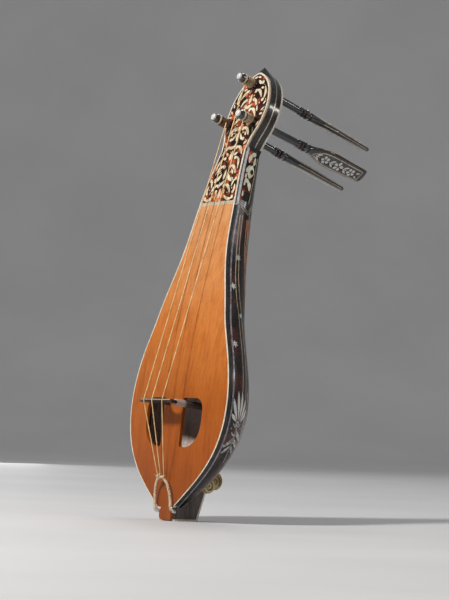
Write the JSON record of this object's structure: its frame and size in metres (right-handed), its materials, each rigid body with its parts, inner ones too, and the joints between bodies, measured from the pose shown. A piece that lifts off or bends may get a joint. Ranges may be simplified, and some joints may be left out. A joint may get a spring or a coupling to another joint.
{
  "type": "kemence bowed lute",
  "caption": "Pear-shaped upright bowed lute with D-shaped sound holes, inlaid neck and head, gut strings and rear-handled tuning pegs.",
  "frame": {"origin": "middle of the foot's underside, on the bone strip under the foot", "axes": "+Z from the foot up to the head, -Y out of the playing side, +X to the right seen from the front"},
  "size_m": [0.156, 0.2312, 0.4171],
  "materials": {
    "stave_dark": "polished",
    "bone_line": "polished",
    "bone": "polished",
    "soundboard_wood": "satin oil",
    "post_wood": "raw",
    "bridge_wood": "satin",
    "tortoiseshell": "polished",
    "pearl_strip": "pearly",
    "pearl": "pearly",
    "ebony": "polished",
    "block_wood": "raw",
    "silver_line": "polished",
    "silver": "polished",
    "scroll_bone": "carved, waxed",
    "tail_gut": "twisted gut",
    "gut": "smooth gut",
    "gut_winding": "smooth gut",
    "peg_ebony": "high polish"
  },
  "bodies": {
    "body": {"bridge": "bridge_wood", "edging_left": "bone", "edging_right": "bone", "face_edging": "bone", "face_plate": "tortoiseshell", "fillet_1": "bone_line", "fillet_2": "bone_line", "fillet_3": "bone_line", "fillet_4": "bone_line", "fillet_5": "bone_line", "fillet_6": "bone_line", "foot": "ebony", "foot_edging": "bone", "head_back_edge": "bone", "head_line": "silver_line", "neck": "ebony", "neck_panel_left": "tortoiseshell", "neck_panel_right": "tortoiseshell", "rim_strip_left": "pearl_strip", "rim_strip_right": "pearl_strip", "seam_band": "bone_line", "sound_post": "post_wood", "soundboard": "soundboard_wood", "stave_1": "stave_dark", "stave_2": "stave_dark", "stave_3": "stave_dark", "stave_4": "stave_dark", "stave_5": "stave_dark", "stave_6": "stave_dark", "stave_7": "stave_dark", "string_left": "gut", "string_middle": "gut", "string_right": "gut", "tail_block": "block_wood", "tail_gut": "tail_gut", "tail_pin": "silver", "tail_scroll": "scroll_bone"},
    "peg_top": {"peg_top": "peg_ebony", "peg_top_collar": "bone", "peg_top_knob_ring": "bone", "peg_top_tip": "pearl", "peg_top_winding": "gut_winding"},
    "peg_left": {"peg_left": "peg_ebony", "peg_left_collar": "bone", "peg_left_knob_ring": "bone", "peg_left_tip": "pearl", "peg_left_winding": "gut_winding"},
    "peg_right": {"peg_right": "peg_ebony", "peg_right_collar": "bone", "peg_right_knob_ring": "bone", "peg_right_tip": "pearl", "peg_right_winding": "gut_winding"}
  },
  "joints": [
    {"name": "turn_peg_top", "type": "hinge", "parent": "body", "child": "peg_top", "pos_m": [0, 0.06963, 0.39949], "axis": [0, 0.9391, -0.3437], "continuous": true},
    {"name": "turn_peg_left", "type": "hinge", "parent": "body", "child": "peg_left", "pos_m": [-0.0198, 0.05605, 0.3624], "axis": [0, 0.9391, -0.3437], "continuous": true},
    {"name": "turn_peg_right", "type": "hinge", "parent": "body", "child": "peg_right", "pos_m": [0.0185, 0.0565, 0.36362], "axis": [-0.0592, 0.9566, -0.2852], "continuous": true}
  ]
}
